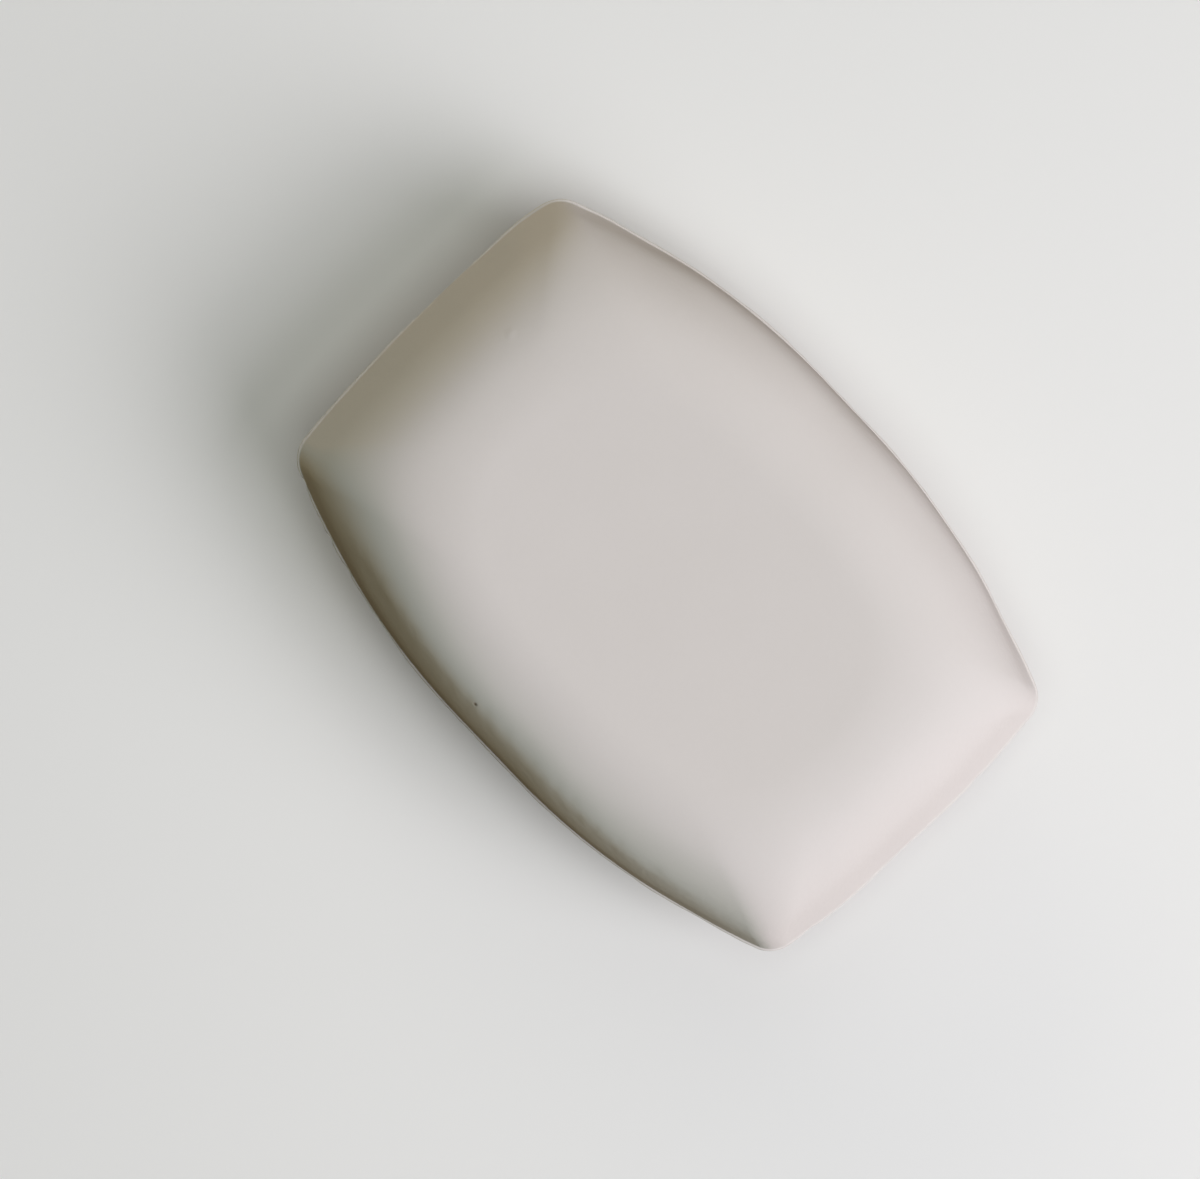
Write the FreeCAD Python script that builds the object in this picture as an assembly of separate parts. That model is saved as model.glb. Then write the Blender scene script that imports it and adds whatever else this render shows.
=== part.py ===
import FreeCAD, Part
import os
from math import acos, cos, hypot, radians, sin, tan

# A pressed bar of toilet soap, in millimetres. The bar lies flat, its length along X, its
# thickness along Z, the middle of its underside at the origin.

# Size over everything, the parting rim counted in.
length = 90.0
width = 62.4
thickness = 28.0

# Thin rim squeezed out all round where the two press dies met.
rim_proud = 0.35
rim_height = 0.8
rim_bevel = 0.2

# Outline seen from above: bowed ends, bowed long sides with a short straight middle,
# and one corner arc between them.
end_bow_radius = 191.0
side_bow_radius = 100.0
side_straight = 8.4
corner_radius = 4.1

# Outline of the flat face, rounder than the rim's. A corner arc takes no more than the
# given share of the half width.
top_end_bow_radius = 40.0
top_side_bow_radius = 54.5
top_corner_radius = 13.5
corner_limit = 0.9

# Section of each half, from the rim inward. A drafted wall runs into the haunch arc, which
# runs into the flatter shoulder arc, which meets the flat face at a faint crease.
# Angles are slopes against the flat face, in degrees.
crease_angle = 1.0
end_wall_angle = 63.2
end_haunch_radius = 14.1
end_shoulder_angle = 12.6
end_shoulder_radius = 29.6
side_wall_angle = 84.7
side_haunch_radius = 11.3
side_shoulder_angle = 22.3
side_shoulder_radius = 19.2

# Number of narrow bands in the skin of one half, from the end of the shorter wall upward.
skin_steps = 16

half_height = (thickness - rim_height) / 2
middle = thickness / 2
end_section = (end_wall_angle, end_haunch_radius, end_shoulder_angle, end_shoulder_radius)
side_section = (side_wall_angle, side_haunch_radius, side_shoulder_angle, side_shoulder_radius)


def slope_on_arc(start_slope, rise, radius):
    """Slope of an arc after it has risen from its start."""
    return acos(min(1.0, cos(start_slope) + rise / radius))


def rises(section):
    """Heights that the wall and the haunch arc take up above the rim."""
    wall, haunch, joint, shoulder = section
    wall, joint, crease = radians(wall), radians(joint), radians(crease_angle)
    haunch_rise = haunch * (cos(joint) - cos(wall))
    shoulder_rise = shoulder * (cos(crease) - cos(joint))
    return half_height - haunch_rise - shoulder_rise, haunch_rise


def inset_at(level, section):
    """Distance inward from the foot of the wall at a height above the rim."""
    wall, haunch, joint, shoulder = section
    wall, joint = radians(wall), radians(joint)
    wall_rise, haunch_rise = rises(section)
    inset = min(level, wall_rise) / tan(wall)
    if level > wall_rise:
        slope = max(joint, slope_on_arc(wall, level - wall_rise, haunch))
        inset += haunch * (sin(wall) - sin(slope))
    if level > wall_rise + haunch_rise:
        slope = slope_on_arc(joint, level - wall_rise - haunch_rise, shoulder)
        inset += shoulder * (sin(joint) - sin(slope))
    return inset


def corner_centre(end_x, end_reach, side_x, side_y, side_reach):
    """Where the corner arc's centre lies, at set distances from the two bow centres."""
    gap = hypot(side_x - end_x, side_y)
    along = (gap * gap + end_reach * end_reach - side_reach * side_reach) / (2 * gap)
    across = (end_reach * end_reach - along * along) ** 0.5
    ux = (side_x - end_x) / gap
    uy = side_y / gap
    return end_x + along * ux - across * uy, along * uy + across * ux


def towards(origin, aim, distance):
    """Point at a distance from the origin on the line through the aim."""
    dx = aim[0] - origin[0]
    dy = aim[1] - origin[1]
    size = hypot(dx, dy)
    return origin[0] + distance * dx / size, origin[1] + distance * dy / size


def between(one, other):
    """Point halfway from one to the other."""
    return (one[0] + other[0]) / 2, (one[1] + other[1]) / 2


def barrel_outline(end_inset, side_inset, radii, level):
    """Closed outline of tangent arcs, set in from the outermost one, at a height."""
    end_bow, side_bow, corner = radii
    half_length = length / 2 - end_inset
    half_width = width / 2 - side_inset
    corner = min(corner, corner_limit * half_width)
    straight = side_straight / 2
    end_mid = (half_length - end_bow, 0.0)
    side_mid = (straight, half_width - side_bow)
    centre = corner_centre(end_mid[0], end_bow - corner, straight, side_mid[1], side_bow - corner)
    on_end = towards(end_mid, centre, end_bow)
    on_side = towards(side_mid, centre, side_bow)
    tip = (half_length, 0.0)
    near = (straight, half_width)
    on_tip = towards(end_mid, between(tip, on_end), end_bow)
    on_corner = towards(centre, between(on_end, on_side), corner)
    on_bow = towards(side_mid, between(on_side, near), side_bow)
    quarter = [(tip, on_tip, on_end), (on_end, on_corner, on_side), (on_side, on_bow, near)]

    def spot(point, sx, sy):
        return FreeCAD.Vector(sx * point[0], sy * point[1], level)

    def arc(points, sx, sy):
        return Part.Arc(*[spot(point, sx, sy) for point in points]).toShape()

    edges = []
    for sx, sy in ((1, 1), (-1, -1)):
        for points in quarter:
            edges.append(arc(points, sx, sy))
        edges.append(Part.makeLine(spot(near, sx, sy), spot(near, -sx, sy)))
        for points in reversed(quarter):
            edges.append(arc(points[::-1], -sx, sy))
    return Part.Wire(edges)


def blend(low, high, share):
    """Value at a share of the way from the low one to the high one."""
    return low * (1 - share) + high * share


def radii_at(end_inset, side_inset, share):
    """Radii of end bow, side bow and corner at a share of the way up to the flat face."""
    late = share ** 2
    end_bow = blend(end_bow_radius - end_inset, top_end_bow_radius, late)
    side_bow = blend(side_bow_radius - side_inset, top_side_bow_radius, share)
    corner = blend(corner_radius - rim_proud, top_corner_radius, late)
    return end_bow, side_bow, corner


def section_levels():
    """Heights of the sections above the rim, closer together towards the flat face."""
    first_join = min(rises(end_section)[0], rises(side_section)[0])
    levels = [0.0]
    for step in range(skin_steps + 1):
        share = 1 - (1 - step / skin_steps) ** 2
        levels.append(first_join + (half_height - first_join) * share)
    return levels


def pressed_half():
    """Upper half as one die forms it, standing on the top of the rim."""
    sections = []
    for level in section_levels():
        end_inset = rim_proud + inset_at(level, end_section)
        side_inset = rim_proud + inset_at(level, side_section)
        radii = radii_at(end_inset, side_inset, level / half_height)
        height = middle + rim_height / 2 + level
        sections.append(barrel_outline(end_inset, side_inset, radii, height))
    return Part.makeLoft(sections, True, True)


def parting_rim():
    """Thin rim round the middle of the bar, its outer edges bevelled."""
    foot = middle - rim_height / 2
    radii = (end_bow_radius, side_bow_radius, corner_radius)
    rim = Part.Face(barrel_outline(0.0, 0.0, radii, foot))
    rim = rim.extrude(FreeCAD.Vector(0, 0, rim_height))
    level_edges = []
    for edge in rim.Edges:
        if edge.BoundBox.ZLength < rim_height / 2:
            level_edges.append(edge)
    return rim.makeChamfer(rim_bevel, level_edges)


def soap_bar():
    """Both pressed halves and the rim as the one piece that they are."""
    upper = pressed_half()
    lower = upper.mirror(FreeCAD.Vector(0, 0, middle), FreeCAD.Vector(0, 0, 1))
    return parting_rim().fuse([upper, lower]).removeSplitter()


os.makedirs("parts", exist_ok=True)
bar = soap_bar()
bar.exportStep("parts/soap_bar.step")
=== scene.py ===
import bpy
from math import acos, atan2, cos, exp, hypot, pi, radians, sin, tan
from mathutils import Matrix, Vector, noise


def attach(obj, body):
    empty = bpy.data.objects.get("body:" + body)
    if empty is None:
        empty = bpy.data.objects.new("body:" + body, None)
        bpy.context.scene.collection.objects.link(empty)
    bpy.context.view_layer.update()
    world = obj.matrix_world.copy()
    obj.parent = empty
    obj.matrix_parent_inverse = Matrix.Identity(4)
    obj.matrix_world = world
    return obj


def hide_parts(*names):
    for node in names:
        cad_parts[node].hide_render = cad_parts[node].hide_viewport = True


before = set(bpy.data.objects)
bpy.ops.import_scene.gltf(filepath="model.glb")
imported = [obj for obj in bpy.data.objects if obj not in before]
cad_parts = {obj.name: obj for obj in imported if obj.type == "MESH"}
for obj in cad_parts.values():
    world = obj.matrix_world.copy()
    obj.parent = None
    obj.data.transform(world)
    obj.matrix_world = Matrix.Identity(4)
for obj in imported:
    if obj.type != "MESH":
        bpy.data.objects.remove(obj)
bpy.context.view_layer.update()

mm = 0.001

# The bar's own sizes in millimetres, as the solid has them
soapShape = {
    "length": 90.0,
    "width": 62.4,
    "thickness": 28.0,
    "rimProud": 0.35,
    "rimHeight": 0.8,
    "sideStraight": 8.4,
    "radiiAtRim": (191.0, 100.0, 4.1),          # end bow, side bow, corner
    "radiiAtTop": (40.0, 54.5, 13.5),
    "creaseAngle": 1.0,
    "endSection": (63.2, 14.1, 12.6, 29.6),     # wall angle, haunch radius, shoulder angle, shoulder radius
    "sideSection": (84.7, 11.3, 22.3, 19.2),
}

# How finely the skin is divided
skinMesh = {
    "endSteps": 44,        # from the middle of an end to its corner
    "cornerSteps": 24,
    "sideSteps": 64,
    "straightSteps": 8,
    "rings": 44,           # from the rim to the flat face
    "edgeReach": 8.5,      # the skin's first stretch above the rim, more finely cut
    "edgeDensity": 1.8,
    "trialSteps": 800,     # along the profile, from which the rings are chosen
}

halfHeight = (soapShape["thickness"] - soapShape["rimHeight"]) / 2
midHeight = soapShape["thickness"] / 2


def rises(section):
    # heights that the wall and the haunch arc take up above the rim
    wall, haunch, joint, shoulder = section
    wall, joint, crease = radians(wall), radians(joint), radians(soapShape["creaseAngle"])
    haunchRise = haunch * (cos(joint) - cos(wall))
    shoulderRise = shoulder * (cos(crease) - cos(joint))
    return halfHeight - haunchRise - shoulderRise, haunchRise


def insetAt(level, section):
    # how far the skin has come in at a height above the rim
    wall, haunch, joint, shoulder = section
    wall, joint = radians(wall), radians(joint)
    wallRise, haunchRise = rises(section)
    inset = min(level, wallRise) / tan(wall)
    if level > wallRise:
        slope = acos(min(1.0, cos(wall) + (level - wallRise) / haunch))
        inset += haunch * (sin(wall) - sin(max(joint, slope)))
    if level > wallRise + haunchRise:
        slope = acos(min(1.0, cos(joint) + (level - wallRise - haunchRise) / shoulder))
        inset += shoulder * (sin(joint) - sin(slope))
    return inset


def arcPoints(centre, radius, start, stop, steps):
    # points along an arc, the last one left out
    return [
        (centre[0] + radius * cos(start + (stop - start) * k / steps),
         centre[1] + radius * sin(start + (stop - start) * k / steps))
        for k in range(steps)
    ]


def barrelOutline(endInset, sideInset, radii):
    # one closed outline from the tip at +X, counterclockwise
    endBow, sideBow, corner = radii
    halfLength = soapShape["length"] / 2 - endInset
    halfWidth = soapShape["width"] / 2 - sideInset
    straight = soapShape["sideStraight"] / 2
    endX, sideX, sideY = halfLength - endBow, straight, halfWidth - sideBow
    reachEnd, reachSide = endBow - corner, sideBow - corner
    gap = hypot(sideX - endX, sideY)
    along = (gap * gap + reachEnd * reachEnd - reachSide * reachSide) / (2 * gap)
    across = (reachEnd * reachEnd - along * along) ** 0.5
    ux, uy = (sideX - endX) / gap, sideY / gap
    cornerX, cornerY = endX + along * ux - across * uy, along * uy + across * ux
    endTurn = atan2(cornerY, cornerX - endX)
    sideTurn = atan2(cornerY - sideY, cornerX - sideX)
    quarter = arcPoints((endX, 0.0), endBow, 0.0, endTurn, skinMesh["endSteps"])
    quarter += arcPoints((cornerX, cornerY), corner, endTurn, sideTurn, skinMesh["cornerSteps"])
    quarter += arcPoints((sideX, sideY), sideBow, sideTurn, pi / 2, skinMesh["sideSteps"])
    steps = skinMesh["straightSteps"]
    quarter += [(straight * (1 - k / steps), halfWidth) for k in range(steps)]
    count = len(quarter)
    mirrored = [(-quarter[count - k][0], quarter[count - k][1]) for k in range(1, count)]
    half = quarter + [(0.0, halfWidth)] + mirrored
    return half + [(-x, -y) for x, y in half]


def blend(low, high, share):
    return low * (1 - share) + high * share


def sectionAt(level):
    # the outline at a height above the rim, rounder towards the flat face
    share = level / halfHeight
    endInset = soapShape["rimProud"] + insetAt(level, soapShape["endSection"])
    sideInset = soapShape["rimProud"] + insetAt(level, soapShape["sideSection"])
    endLow, sideLow, cornerLow = soapShape["radiiAtRim"]
    endTop, sideTop, cornerTop = soapShape["radiiAtTop"]
    radii = (
        blend(endLow - endInset, endTop, share ** 2),
        blend(sideLow - sideInset, sideTop, share),
        blend(cornerLow - soapShape["rimProud"], cornerTop, share ** 2),
    )
    return barrelOutline(endInset, sideInset, radii)


def ringLevels():
    # levels that cut the side's profile into even steps along its curve, finer ones near the rim
    trials = skinMesh["trialSteps"]
    levels = [halfHeight * (1 - (1 - k / trials) ** 2) for k in range(trials + 1)]
    insets = [insetAt(level, soapShape["sideSection"]) for level in levels]
    runs, reached = [0.0], 0.0
    for k in range(trials):
        step = hypot(levels[k + 1] - levels[k], insets[k + 1] - insets[k])
        reached += step
        weight = skinMesh["edgeDensity"] if reached < skinMesh["edgeReach"] else 1.0
        runs.append(runs[-1] + step * weight)
    chosen, k = [], 0
    for ring in range(skinMesh["rings"] + 1):
        aim = runs[-1] * ring / skinMesh["rings"]
        while k < trials - 1 and runs[k + 1] < aim:
            k += 1
        part = (aim - runs[k]) / (runs[k + 1] - runs[k])
        chosen.append(levels[k] + (levels[k + 1] - levels[k]) * min(1.0, part))
    return chosen


# The thin rim: how it wanders, and the small nicks in it, each at a place seen on the real bar
rimShape = {
    "leastProud": 0.10,
    "leastShare": 0.1,     # of the full reach, left even at a nick
    "meanReach": 0.72,
    "waveSize": 7.0, "waveShare": 0.5,
    "fineSize": 1.9, "fineShare": 0.26,
    "section": [(0.84, 0.48), (0.40, 0.45), (0.14, 0.38), (0.0, 0.20)],   # inset and height shares, top half
    "nicks": [             # place, size and depth
        (-40.0, -24.9, 1.0, 0.30), (-32.7, -27.1, 0.9, 0.30), (-28.3, -28.2, 1.1, 0.26),
        (43.9, -17.6, 1.2, 0.22), (44.2, 10.7, 1.0, 0.2),
    ],
}

# How the real outline strays from the even one: place, shift outward and spread, in millimetres
outlineStray = {
    "bulges": [
        (-44.0, 17.0, 0.68, 6.0), (-44.8, 7.0, 0.40, 6.5), (-45.0, -3.0, 0.16, 5.0),
        (-41.5, 24.6, -0.30, 2.6), (-33.0, 27.0, -0.25, 6.0), (20.0, 29.5, -0.18, 8.0),
        (33.0, 26.5, -0.30, 6.0), (44.5, -12.0, 0.28, 5.0), (44.4, 10.0, 0.15, 7.0),
        (32.0, -27.0, -0.15, 7.0), (-3.0, -31.0, -0.12, 12.0), (-31.0, -28.0, -0.10, 6.0),
        (-42.5, -22.0, -0.13, 4.0),
    ],
    "fadeInward": 13.0,    # the shift dies out over this distance from the rim
    "fadePower": 1.5,
}


def strayAt(x, y):
    # the outward shift at a place of the outline
    shift = 0.0
    for bulgeX, bulgeY, size, spread in outlineStray["bulges"]:
        shift += size * exp(-((x - bulgeX) ** 2 + (y - bulgeY) ** 2) / spread ** 2)
    return shift


def rimProudAt(x, y):
    # the rim's reach, 0 to 1, uneven along its way round and broken at the nicks
    wave = noise.noise(Vector((x, y, 3.0)) / rimShape["waveSize"])
    fine = noise.noise(Vector((x, y, 11.0)) / rimShape["fineSize"])
    reach = rimShape["meanReach"] + rimShape["waveShare"] * wave + rimShape["fineShare"] * fine
    for nickX, nickY, size, depth in rimShape["nicks"]:
        away = hypot(x - nickX, y - nickY)
        reach -= depth / soapShape["rimProud"] * max(0.0, 1 - (away / size) ** 2)
    least = rimShape["leastProud"] / soapShape["rimProud"]
    return min(1.0, max(rimShape["leastShare"], least + (1 - least) * reach))


def skinLevels():
    # every ring from the upper flat face down to the lower one: height, outline, rim share or None
    rings = []
    upper = [(level, sectionAt(level)) for level in ringLevels()]
    for level, outline in reversed(upper):
        rings.append((midHeight + soapShape["rimHeight"] / 2 + level, outline, None))
    lip = rimShape["section"]
    for inset, height in lip:
        rings.append((midHeight + soapShape["rimHeight"] * height, None, inset))
    for inset, height in reversed(lip):
        rings.append((midHeight - soapShape["rimHeight"] * height, None, inset))
    for level, outline in upper:
        rings.append((midHeight - soapShape["rimHeight"] / 2 - level, outline, None))
    return rings


def flatPatch(edge, nx, ny, firstVertex, height, vertices, faces, facingUp):
    # fills a flat face with a regular grid whose border is the ring's own vertices
    # the ring starts at the +X tip, so the grid's corners lie half a short side away from it
    count = len(edge)
    start = ny // 2

    def ringIndex(k):
        return (start + k) % count

    # border in order: from corner (+X,+Y) along the top side to (-X,+Y), down, back, up
    grid = {}
    for i in range(nx + 1):
        grid[(nx - i, ny)] = ringIndex(i)
        grid[(i, 0)] = ringIndex(nx + ny + i)
    for j in range(ny + 1):
        grid[(0, ny - j)] = ringIndex(nx + j)
        grid[(nx, j)] = ringIndex(2 * nx + ny + j)
    place = {key: edge[k] for key, k in grid.items()}
    index = {key: firstVertex + k for key, k in grid.items()}
    for i in range(1, nx):
        for j in range(1, ny):
            s, r = i / nx, j / ny
            point = []
            for axis in (0, 1):
                across = (1 - s) * place[(0, j)][axis] + s * place[(nx, j)][axis]
                upward = (1 - r) * place[(i, 0)][axis] + r * place[(i, ny)][axis]
                bilinear = (
                    (1 - s) * (1 - r) * place[(0, 0)][axis] + s * (1 - r) * place[(nx, 0)][axis]
                    + (1 - s) * r * place[(0, ny)][axis] + s * r * place[(nx, ny)][axis]
                )
                point.append(across + upward - bilinear)
            index[(i, j)] = len(vertices)
            vertices.append(Vector((point[0], point[1], height)))
    for i in range(nx):
        for j in range(ny):
            quad = [index[(i, j)], index[(i + 1, j)], index[(i + 1, j + 1)], index[(i, j + 1)]]
            faces.append(quad if facingUp else quad[::-1])


def outwardAt(outline, k):
    # unit direction out of the outline at one of its points
    before, after = outline[k - 1], outline[(k + 1) % len(outline)]
    dx, dy = after[0] - before[0], after[1] - before[1]
    size = hypot(dx, dy)
    return dy / size, -dx / size


def buildSoapMesh():
    # also returns how far in from the rim each vertex lies, and how much it faces a long side
    vertices, faces, insets, sideways = [], [], [], []
    outermost = barrelOutline(0.0, 0.0, soapShape["radiiAtRim"])
    innermost = sectionAt(0.0)
    rings = skinLevels()
    count = len(outermost)
    reach = [rimProudAt(x, y) for x, y in outermost]
    outward = [outwardAt(outermost, k) for k in range(count)]
    stray = [strayAt(x, y) for x, y in outermost]
    for height, outline, lipInset in rings:
        for k in range(count):
            if outline is None:
                share = reach[k] * (1 - lipInset)
                x = innermost[k][0] + (outermost[k][0] - innermost[k][0]) * share
                y = innermost[k][1] + (outermost[k][1] - innermost[k][1]) * share
            else:
                x, y = outline[k]
            inset = hypot(x - outermost[k][0], y - outermost[k][1])
            shift = stray[k] * max(0.0, 1 - inset / outlineStray["fadeInward"]) ** outlineStray["fadePower"]
            x += outward[k][0] * shift
            y += outward[k][1] * shift
            x = max(-soapShape["length"] / 2, min(soapShape["length"] / 2, x))
            vertices.append(Vector((x, y, height)))
            insets.append(inset)
            sideways.append(abs(outward[k][1]))
    for ring in range(len(rings) - 1):
        for k in range(count):
            one, two = ring * count + k, ring * count + (k + 1) % count
            faces.append([one, one + count, two + count, two])
    ny = 2 * (skinMesh["endSteps"] + skinMesh["cornerSteps"] // 2)
    nx = count // 2 - ny
    flatPatch(rings[0][1], nx, ny, 0, rings[0][0], vertices, faces, True)
    flatPatch(rings[-1][1], nx, ny, (len(rings) - 1) * count, rings[-1][0], vertices, faces, False)
    mesh = bpy.data.meshes.new("soapBody")
    mesh.from_pydata([v * mm for v in vertices], [], faces)
    mesh.update()
    return mesh, insets, sideways


# Slight unevenness of the skin, in millimetres
unevenness = {
    "swellSize": 17.0, "swellDepth": 0.05, "swellFrom": (4.1, 0.3, 7.7),
    "rippleSize": 5.5, "rippleDepth": 0.012, "rippleFrom": (1.9, 5.2, 0.4),
    "rimFade": (0.4, 2.0),              # height from the middle where it starts, and over which it grows
    "kneeHeight": (0.04, 0.17, 0.10),   # the fuller bend along the long side at -Y: by -X, middle, by +X
    "kneeInset": (5.4, 3.7, 4.5),       # how far in from the rim it runs at the same places
    "kneeSpread": (1.3, 3.0),           # towards the rim and towards the flat face
    "kneeEnds": (25.0, 1.3),            # distance to the outer two places, and power of the way there
    "kneeWander": 0.35, "wanderSize": (5.0, 30.0), "wanderFrom": 2.5,
    "hollowDepth": (0.24, 0.09, 0.13),  # the slight hollow below the bend
    "hollowInset": 2.4,                 # how far outside the bend it lies
    "hollowSpread": 1.6,
    "sideEnds": (22.0, 37.0),           # along the side, where the bends start to fade and are gone
    "sideFacing": 0.7,                  # the least that skin with a bend faces the side
    "sideReach": 12.0,                  # farther in from the rim there is no bend
    "farKnee": (0.22, 2.0, 1.6),        # the long side at +Y: height, inset and spread of its own fuller bend
    "chipSize": 1.7, "chipDepth": 0.09, "chipFrom": (0.6, 8.3, 2.2),
    "chipInset": 0.4, "chipSpread": 1.3,
}


def kneeAt(place, inset, sideways):
    # height of the fuller bend at a place of the skin, with its small chips
    fadeFrom, fadeTo = unevenness["sideEnds"]
    share = 1 - min(1.0, max(0.0, (abs(place.x) - fadeFrom) / (fadeTo - fadeFrom)))
    share = share * share * (3 - 2 * share)
    if share == 0.0 or sideways < unevenness["sideFacing"] or inset > unevenness["sideReach"]:
        return 0.0
    if place.y > 0:
        size, middle, spread = unevenness["farKnee"]
        return share * size * exp(-((inset - middle) / spread) ** 2)
    farthest, power = unevenness["kneeEnds"]
    towardsEnd = min(1.0, abs(place.x) / farthest) ** power
    end = 0 if place.x < 0 else 2

    def here(name):
        return blend(unevenness[name][1], unevenness[name][end], towardsEnd)

    alongSize, acrossSize = unevenness["wanderSize"]
    wander = noise.noise(Vector((place.x / alongSize, place.y / acrossSize, unevenness["wanderFrom"])))
    middle = here("kneeInset") + unevenness["kneeWander"] * wander
    below, above = unevenness["kneeSpread"]
    away = (inset - middle) / (below if inset < middle else above)
    bend = here("kneeHeight") * exp(-away * away)
    away = (inset - middle + unevenness["hollowInset"]) / unevenness["hollowSpread"]
    hollow = here("hollowDepth") * exp(-away * away)
    chip = noise.noise(place / unevenness["chipSize"] + Vector(unevenness["chipFrom"]))
    chipBand = exp(-((inset - middle + unevenness["chipInset"]) / unevenness["chipSpread"]) ** 2)
    return share * (bend - hollow + unevenness["chipDepth"] * min(0.0, chip) * chipBand)


def pressUneven(mesh, insets, sideways):
    # shifts each vertex a little along its normal, less at the rim
    normals = [v.normal.copy() for v in mesh.vertices]
    fadeFrom, fadeOver = unevenness["rimFade"]
    for index, (vertex, normal) in enumerate(zip(mesh.vertices, normals)):
        place = vertex.co / mm
        swell = noise.noise(place / unevenness["swellSize"] + Vector(unevenness["swellFrom"]))
        ripple = noise.noise(place / unevenness["rippleSize"] + Vector(unevenness["rippleFrom"]))
        depth = unevenness["swellDepth"] * (swell - 0.5) + unevenness["rippleDepth"] * (ripple - 0.5)
        if index < len(insets):
            depth += kneeAt(place, insets[index], sideways[index])
        fade = min(1.0, max(0.0, (abs(place.z - midHeight) - fadeFrom) / fadeOver))
        vertex.co += normal * depth * fade * mm
    mesh.update()


soapMesh, skinInsets, skinSideways = buildSoapMesh()
pressUneven(soapMesh, skinInsets, skinSideways)
soapBar = bpy.data.objects.new("soapBar", soapMesh)
bpy.context.scene.collection.objects.link(soapBar)
for face in soapMesh.polygons:
    face.use_smooth = True
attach(soapBar, "root")
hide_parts("soap_bar")
print("soap bar built,", len(soapMesh.polygons), "faces")


# Grain and mottling
def buildGrainGroup():
    group = bpy.data.node_groups.new("softGrain", "ShaderNodeTree")
    face = group.interface
    face.new_socket("Place", in_out="INPUT", socket_type="NodeSocketVector")
    for name, value in (("Cloud Scale", 40.0), ("Grain Scale", 900.0), ("Cloud Share", 0.7)):
        socket = face.new_socket(name, in_out="INPUT", socket_type="NodeSocketFloat")
        socket.default_value = value
    for name in ("Clouds", "Grain", "Mix"):
        face.new_socket(name, in_out="OUTPUT", socket_type="NodeSocketFloat")
    nodes, links = group.nodes, group.links
    into = nodes.new("NodeGroupInput")
    out = nodes.new("NodeGroupOutput")
    clouds = nodes.new("ShaderNodeTexNoise")
    clouds.inputs["Detail"].default_value = 4.0
    clouds.inputs["Roughness"].default_value = 0.55
    grain = nodes.new("ShaderNodeTexNoise")
    grain.inputs["Detail"].default_value = 3.0
    both = nodes.new("ShaderNodeMix")
    links.new(into.outputs["Place"], clouds.inputs["Vector"])
    links.new(into.outputs["Place"], grain.inputs["Vector"])
    links.new(into.outputs["Cloud Scale"], clouds.inputs["Scale"])
    links.new(into.outputs["Grain Scale"], grain.inputs["Scale"])
    links.new(into.outputs["Cloud Share"], both.inputs[0])
    links.new(grain.outputs["Fac"], both.inputs[2])
    links.new(clouds.outputs["Fac"], both.inputs[3])
    links.new(clouds.outputs["Fac"], out.inputs["Clouds"])
    links.new(grain.outputs["Fac"], out.inputs["Grain"])
    links.new(both.outputs[0], out.inputs["Mix"])
    return group


softGrain = buildGrainGroup()


def joinMath(nodes, links, operation, one, other):
    # a maths node fed by two sockets or plain numbers
    node = nodes.new("ShaderNodeMath")
    node.operation = operation
    for socket, value in zip(node.inputs, (one, other)):
        if isinstance(value, (int, float)):
            socket.default_value = value
        else:
            links.new(value, socket)
    return node.outputs[0]


def joinTones(nodes, links, share, low, high):
    # a mix of two colours, each a socket or a plain one
    node = nodes.new("ShaderNodeMix")
    node.data_type = "RGBA"
    links.new(share, node.inputs[0])
    for socket, value in zip((node.inputs[6], node.inputs[7]), (low, high)):
        if isinstance(value, tuple):
            socket.default_value = (*value, 1.0)
        else:
            links.new(value, socket)
    return node.outputs[2]


def shareOf(nodes, links, value, reach, interpolation="SMOOTHSTEP"):
    # 0 to 1 as the value passes from one end of the reach to the other
    node = nodes.new("ShaderNodeMapRange")
    node.interpolation_type = interpolation
    node.inputs["From Min"].default_value, node.inputs["From Max"].default_value = reach
    links.new(value, node.inputs["Value"])
    return node.outputs["Result"]


def lookedAt(nodes, links):
    # 1 for what the camera or a mirrored ray sees, 0 for what only throws light
    rays = nodes.new("ShaderNodeLightPath")
    return joinMath(nodes, links, "MAXIMUM", rays.outputs["Is Camera Ray"], rays.outputs["Is Glossy Ray"])


# A round mark at a place: 1 at its middle, falling to 0 at its radius
def buildMarkGroup():
    group = bpy.data.node_groups.new("roundMark", "ShaderNodeTree")
    face = group.interface
    face.new_socket("Place", in_out="INPUT", socket_type="NodeSocketVector")
    face.new_socket("Centre", in_out="INPUT", socket_type="NodeSocketVector")
    face.new_socket("Radius", in_out="INPUT", socket_type="NodeSocketFloat").default_value = 0.001
    face.new_socket("Mark", in_out="OUTPUT", socket_type="NodeSocketFloat")
    nodes, links = group.nodes, group.links
    into = nodes.new("NodeGroupInput")
    out = nodes.new("NodeGroupOutput")
    away = nodes.new("ShaderNodeVectorMath")
    away.operation = "DISTANCE"
    links.new(into.outputs["Place"], away.inputs[0])
    links.new(into.outputs["Centre"], away.inputs[1])
    fall = nodes.new("ShaderNodeMapRange")
    fall.interpolation_type = "SMOOTHSTEP"
    links.new(away.outputs["Value"], fall.inputs["Value"])
    links.new(into.outputs["Radius"], fall.inputs["From Max"])
    fall.inputs["To Min"].default_value = 1.0
    fall.inputs["To Max"].default_value = 0.0
    links.new(fall.outputs["Result"], out.inputs["Mark"])
    return group


roundMark = buildMarkGroup()

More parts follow.
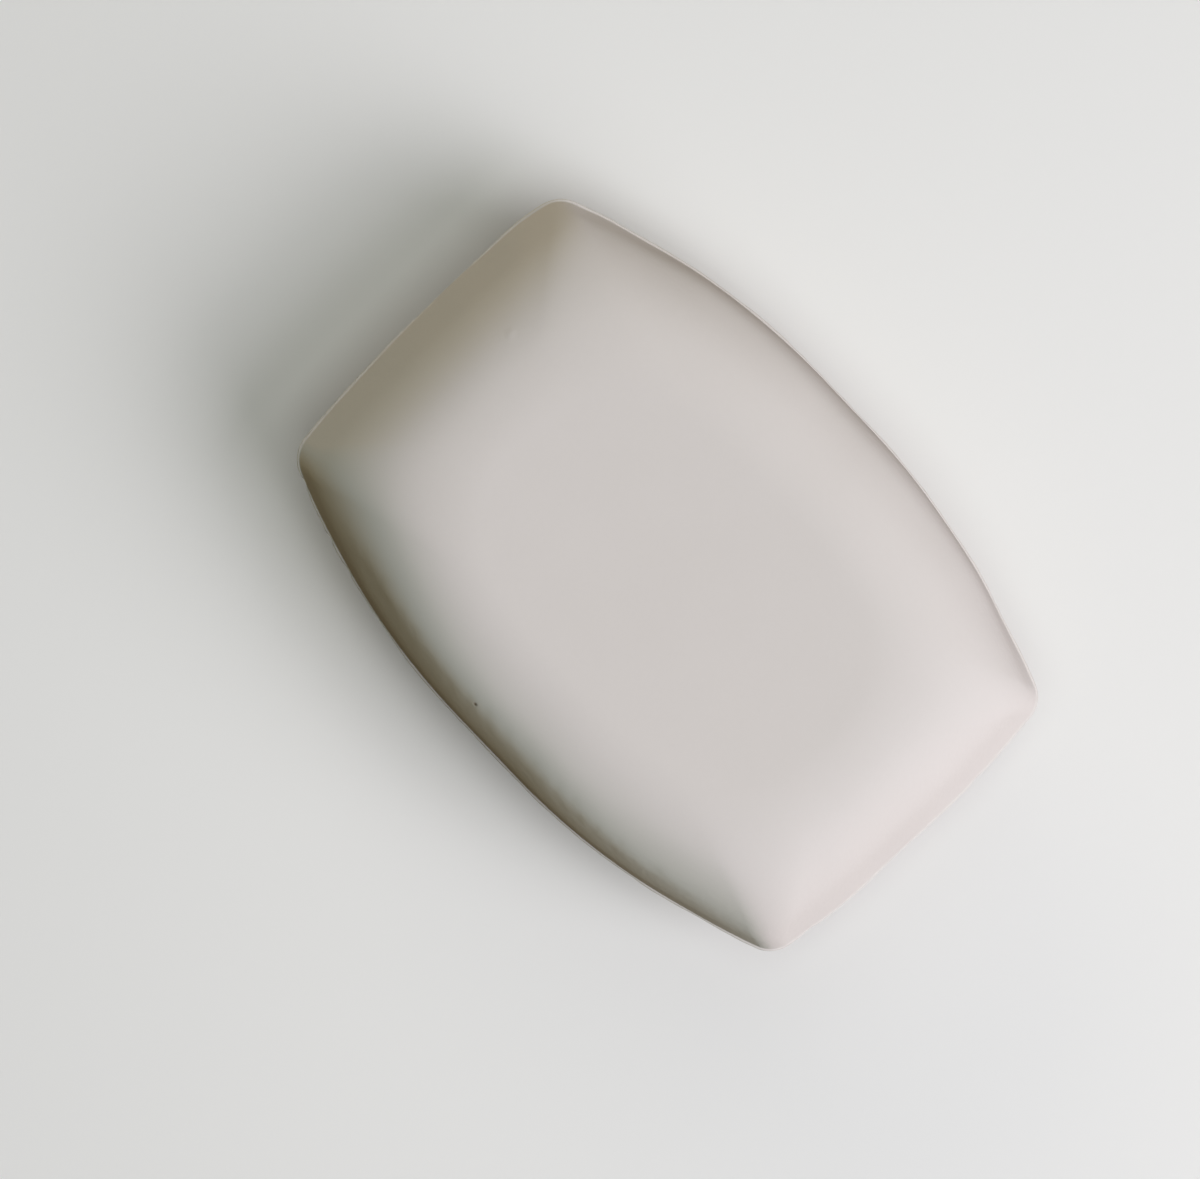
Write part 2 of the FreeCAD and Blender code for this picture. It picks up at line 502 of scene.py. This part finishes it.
soapFinish = {
    "paler": (0.745, 0.705, 0.686),
    "deeper": (0.702, 0.663, 0.640),
    "roughLow": 0.52,
    "roughHigh": 0.66,
    "shine": 0.0,
    "ior": 1.45,
    # painted shade and painted warm reflected light, above the rim: warm on the end at -X, greenish grey on
    # the slopes towards -Y, yellow on the wall there
    "paintedShadeTints": [
        {"tone": (0.690, 0.635, 0.560), "towards": (-1.0, 0.0, 0.0), "reach": (0.35, 0.82)},
        {"tone": (0.600, 0.605, 0.550), "towards": (-0.37, -0.93, 0.0), "reach": (0.15, 0.65)},
        {"tone": (0.560, 0.490, 0.335), "towards": (-0.37, -0.93, 0.0), "reach": (0.55, 0.97)},
    ],
    "cloudScale": 55.0,
    "grainScale": 1400.0,
    "grainDepth": 0.008,        # depths in millimetres
    "wallScale": 1150.0,        # fine bumps on the steep walls, left by the dies
    "wallDetail": 2.5,
    "wallDepth": 0.06,
    "wallSteep": (0.80, 0.45),  # upward part of the normal where the bumps start, and where they are full
    "speck": {"at": (-6.1, -27.4, 24.1), "radius": 0.42, "colour": (0.20, 0.16, 0.11), "depth": 0.08},
    "dot": {"at": (-35.9, 6.9, 26.1), "radius": 1.0, "height": 0.07},
}


def makeMark(nodes, links, place, settings):
    mark = nodes.new("ShaderNodeGroup")
    mark.node_tree = roundMark
    links.new(place, mark.inputs["Place"])
    mark.inputs["Centre"].default_value = [v * mm for v in settings["at"]]
    mark.inputs["Radius"].default_value = settings["radius"] * mm
    return mark.outputs["Mark"]


def makeSoapMaterial():
    material = bpy.data.materials.new("soapIvory")
    material.use_nodes = True
    nodes, links = material.node_tree.nodes, material.node_tree.links
    shader = nodes["Principled BSDF"]
    coordinates = nodes.new("ShaderNodeTexCoord")
    place = coordinates.outputs["Object"]
    grain = nodes.new("ShaderNodeGroup")
    grain.node_tree = softGrain
    grain.inputs["Cloud Scale"].default_value = soapFinish["cloudScale"]
    grain.inputs["Grain Scale"].default_value = soapFinish["grainScale"]
    links.new(place, grain.inputs["Place"])
    tone = joinTones(nodes, links, grain.outputs["Mix"], soapFinish["deeper"], soapFinish["paler"])
    spot = nodes.new("ShaderNodeSeparateXYZ")
    links.new(place, spot.inputs[0])
    aboveRim = joinMath(nodes, links, "GREATER_THAN", spot.outputs["Z"], midHeight * mm)
    # painted shade and painted reflected light: each tint turns the base colour darker, greenish or warmer
    # where the normal faces -X or -Y, above the rim only
    for paintedTint in soapFinish["paintedShadeTints"]:
        facing = nodes.new("ShaderNodeVectorMath")
        facing.operation = "DOT_PRODUCT"
        facing.inputs[1].default_value = paintedTint["towards"]
        links.new(coordinates.outputs["Normal"], facing.inputs[0])
        share = shareOf(nodes, links, facing.outputs["Value"], paintedTint["reach"])
        share = joinMath(nodes, links, "MULTIPLY", share, aboveRim)
        tone = joinTones(nodes, links, share, tone, paintedTint["tone"])
    speck = makeMark(nodes, links, place, soapFinish["speck"])
    tone = joinTones(nodes, links, speck, tone, soapFinish["speck"]["colour"])
    links.new(tone, shader.inputs["Base Color"])
    rough = nodes.new("ShaderNodeMapRange")
    rough.inputs["To Min"].default_value = soapFinish["roughLow"]
    rough.inputs["To Max"].default_value = soapFinish["roughHigh"]
    links.new(grain.outputs["Clouds"], rough.inputs["Value"])
    links.new(rough.outputs["Result"], shader.inputs["Roughness"])
    # heights in millimetres: grain everywhere, bumps on the walls, the speck's pit, the dot
    split = nodes.new("ShaderNodeSeparateXYZ")
    links.new(coordinates.outputs["Normal"], split.inputs[0])
    upward = joinMath(nodes, links, "ABSOLUTE", split.outputs["Z"], 0.0)
    steep = shareOf(nodes, links, upward, soapFinish["wallSteep"], "LINEAR")
    wall = nodes.new("ShaderNodeTexNoise")
    wall.inputs["Scale"].default_value = soapFinish["wallScale"]
    wall.inputs["Detail"].default_value = soapFinish["wallDetail"]
    links.new(place, wall.inputs["Vector"])
    height = joinMath(nodes, links, "MULTIPLY", grain.outputs["Grain"], soapFinish["grainDepth"])
    bumps = joinMath(nodes, links, "MULTIPLY", wall.outputs["Fac"], soapFinish["wallDepth"])
    bumps = joinMath(nodes, links, "MULTIPLY", bumps, steep)
    height = joinMath(nodes, links, "ADD", height, bumps)
    pit = joinMath(nodes, links, "MULTIPLY", speck, soapFinish["speck"]["depth"])
    height = joinMath(nodes, links, "SUBTRACT", height, pit)
    dot = makeMark(nodes, links, place, soapFinish["dot"])
    raised = joinMath(nodes, links, "MULTIPLY", dot, soapFinish["dot"]["height"])
    height = joinMath(nodes, links, "ADD", height, raised)
    bump = nodes.new("ShaderNodeBump")
    bump.inputs["Distance"].default_value = mm
    links.new(height, bump.inputs["Height"])
    links.new(bump.outputs["Normal"], shader.inputs["Normal"])
    shader.inputs["IOR"].default_value = soapFinish["ior"]
    shader.inputs["Specular IOR Level"].default_value = soapFinish["shine"]
    return material


soapMesh.materials.append(makeSoapMaterial())
print("soap material made")

# The floor that the bar rests on: pale to the eye, warm and dim in what it throws back
floorFinish = {
    "seen": (0.885, 0.885, 0.875),
    "thrown": (0.28, 0.228, 0.175),
    "far": (0.77, 0.77, 0.76),     # its even tone in the distance, the backdrop's too
    "fade": (0.115, 0.28),         # where the lit floor starts to turn into that tone, and where it has
    "rough": 0.85,
    "shine": 0.0,
    "halfSize": 1.5,
}


def makeFloor():
    half = floorFinish["halfSize"]
    corners = [(-half, -half, 0), (half, -half, 0), (half, half, 0), (-half, half, 0)]
    mesh = bpy.data.meshes.new("floor")
    mesh.from_pydata(corners, [], [(0, 1, 2, 3)])
    floor = bpy.data.objects.new("floor", mesh)
    bpy.context.scene.collection.objects.link(floor)
    material = bpy.data.materials.new("paleFloor")
    material.use_nodes = True
    nodes, links = material.node_tree.nodes, material.node_tree.links
    shader = nodes["Principled BSDF"]
    shader.inputs["Roughness"].default_value = floorFinish["rough"]
    shader.inputs["Specular IOR Level"].default_value = floorFinish["shine"]
    looked = lookedAt(nodes, links)
    tone = joinTones(nodes, links, looked, floorFinish["thrown"], floorFinish["seen"])
    spot = nodes.new("ShaderNodeTexCoord")
    away = nodes.new("ShaderNodeVectorMath")
    away.operation = "LENGTH"
    links.new(spot.outputs["Object"], away.inputs[0])
    # far from the bar the lit tone gives way to an even glow, the backdrop's own
    share = shareOf(nodes, links, away.outputs["Value"], floorFinish["fade"])
    share = joinMath(nodes, links, "MULTIPLY", share, looked)
    black = (0.0, 0.0, 0.0)
    links.new(joinTones(nodes, links, share, tone, black), shader.inputs["Base Color"])
    links.new(joinTones(nodes, links, share, black, floorFinish["far"]), shader.inputs["Emission Color"])
    shader.inputs["Emission Strength"].default_value = 1.0
    mesh.materials.append(material)
    return floor


makeFloor()

# Soft studio light: azimuth from +X towards +Y, elevation above the floor, in degrees
lamps = {
    "topBox": {"azimuth": 0.0, "elevation": 90.0, "watts": 2.38, "colour": (0.95, 1.0, 0.95)},
    "keyBox": {"azimuth": 23.0, "elevation": 42.0, "watts": 4.8, "colour": (0.955, 0.935, 1.0)},
    "lowKey": {"azimuth": 10.0, "elevation": 28.0, "watts": 3.05, "colour": (1.0, 0.966, 0.96)},
    "sideFill": {"azimuth": 130.0, "elevation": 42.0, "watts": 0.52, "colour": (0.92, 1.0, 1.0)},
    "lowFill": {"azimuth": 158.0, "elevation": 12.0, "watts": 2.1, "colour": (1.0, 0.90, 0.70)},
}
lampBox = {"distance": 0.9, "size": 0.6}
worldLight = {"colour": (1.0, 0.93, 0.82), "strength": 0.014}


def makeLamp(name, settings):
    lamp = bpy.data.lights.new(name, "AREA")
    lamp.shape = "SQUARE"
    lamp.size = lampBox["size"]
    lamp.energy = settings["watts"]
    lamp.color = settings["colour"]
    holder = bpy.data.objects.new(name, lamp)
    turn, rise = radians(settings["azimuth"]), radians(settings["elevation"])
    out = Vector((cos(turn) * cos(rise), sin(turn) * cos(rise), sin(rise)))
    holder.location = Vector((0, 0, midHeight * mm)) + out * lampBox["distance"]
    holder.rotation_mode = "QUATERNION"
    holder.rotation_quaternion = (-out).to_track_quat("-Z", "Y")
    bpy.context.scene.collection.objects.link(holder)


for name, settings in lamps.items():
    makeLamp(name, settings)


def makeWorld():
    world = bpy.data.worlds.new("studio")
    bpy.context.scene.world = world
    world.use_nodes = True
    nodes, links = world.node_tree.nodes, world.node_tree.links
    lit = nodes["Background"]
    lit.inputs["Color"].default_value = (*worldLight["colour"], 1.0)
    lit.inputs["Strength"].default_value = worldLight["strength"]
    seen = nodes.new("ShaderNodeBackground")
    seen.inputs["Color"].default_value = (*floorFinish["far"], 1.0)
    choose = nodes.new("ShaderNodeMixShader")
    links.new(lookedAt(nodes, links), choose.inputs[0])
    links.new(lit.outputs[0], choose.inputs[1])
    links.new(seen.outputs[0], choose.inputs[2])
    links.new(choose.outputs[0], nodes["World Output"].inputs["Surface"])


makeWorld()
print("floor and light made")

# The camera stands almost straight above, as in the photograph
cameraView = {
    "imageWidth": 1200, "imageHeight": 1179,
    "barAt": (668.9, 578.7),          # where the bar's middle falls in the image
    "pixelsPerMetre": 8054.0,
    "turn": 46.37,                    # of +X below the image's right
    "lean": (-1.5, -5.0),             # towards the image's right and bottom, degrees
    "distance": 0.5,
    "sensorWidth": 36.0,
    "clip": (0.01, 10.0),
}


def makeCamera():
    turn = radians(cameraView["turn"])
    right = Vector((cos(turn), sin(turn), 0.0))
    down = Vector((sin(turn), -cos(turn), 0.0))
    forward = Vector((0.0, 0.0, -1.0))
    leanRight, leanDown = cameraView["lean"]
    lean = radians(hypot(leanRight, leanDown))
    side = (right * leanRight + down * leanDown).normalized()
    tipped = forward * cos(lean) - side * sin(lean)
    swing = forward.rotation_difference(tipped)
    right, down, forward = swing @ right, swing @ down, swing @ forward
    focal = cameraView["pixelsPerMetre"] * cameraView["distance"]
    offRight = (cameraView["barAt"][0] - cameraView["imageWidth"] / 2) / focal * cameraView["distance"]
    offDown = (cameraView["barAt"][1] - cameraView["imageHeight"] / 2) / focal * cameraView["distance"]
    camera = bpy.data.cameras.new("photoCamera")
    camera.sensor_width = cameraView["sensorWidth"]
    camera.lens = focal * camera.sensor_width / cameraView["imageWidth"]
    camera.clip_start, camera.clip_end = cameraView["clip"]
    holder = bpy.data.objects.new("photoCamera", camera)
    axes = Matrix((right, -down, -forward)).transposed()
    barMiddle = Vector((0, 0, midHeight * mm))
    where = barMiddle - forward * cameraView["distance"] - right * offRight - down * offDown
    holder.matrix_world = Matrix.Translation(where) @ axes.to_4x4()
    bpy.context.scene.collection.objects.link(holder)
    bpy.context.scene.camera = holder


makeCamera()
bpy.context.scene.view_settings.view_transform = "Standard"
print("camera set")
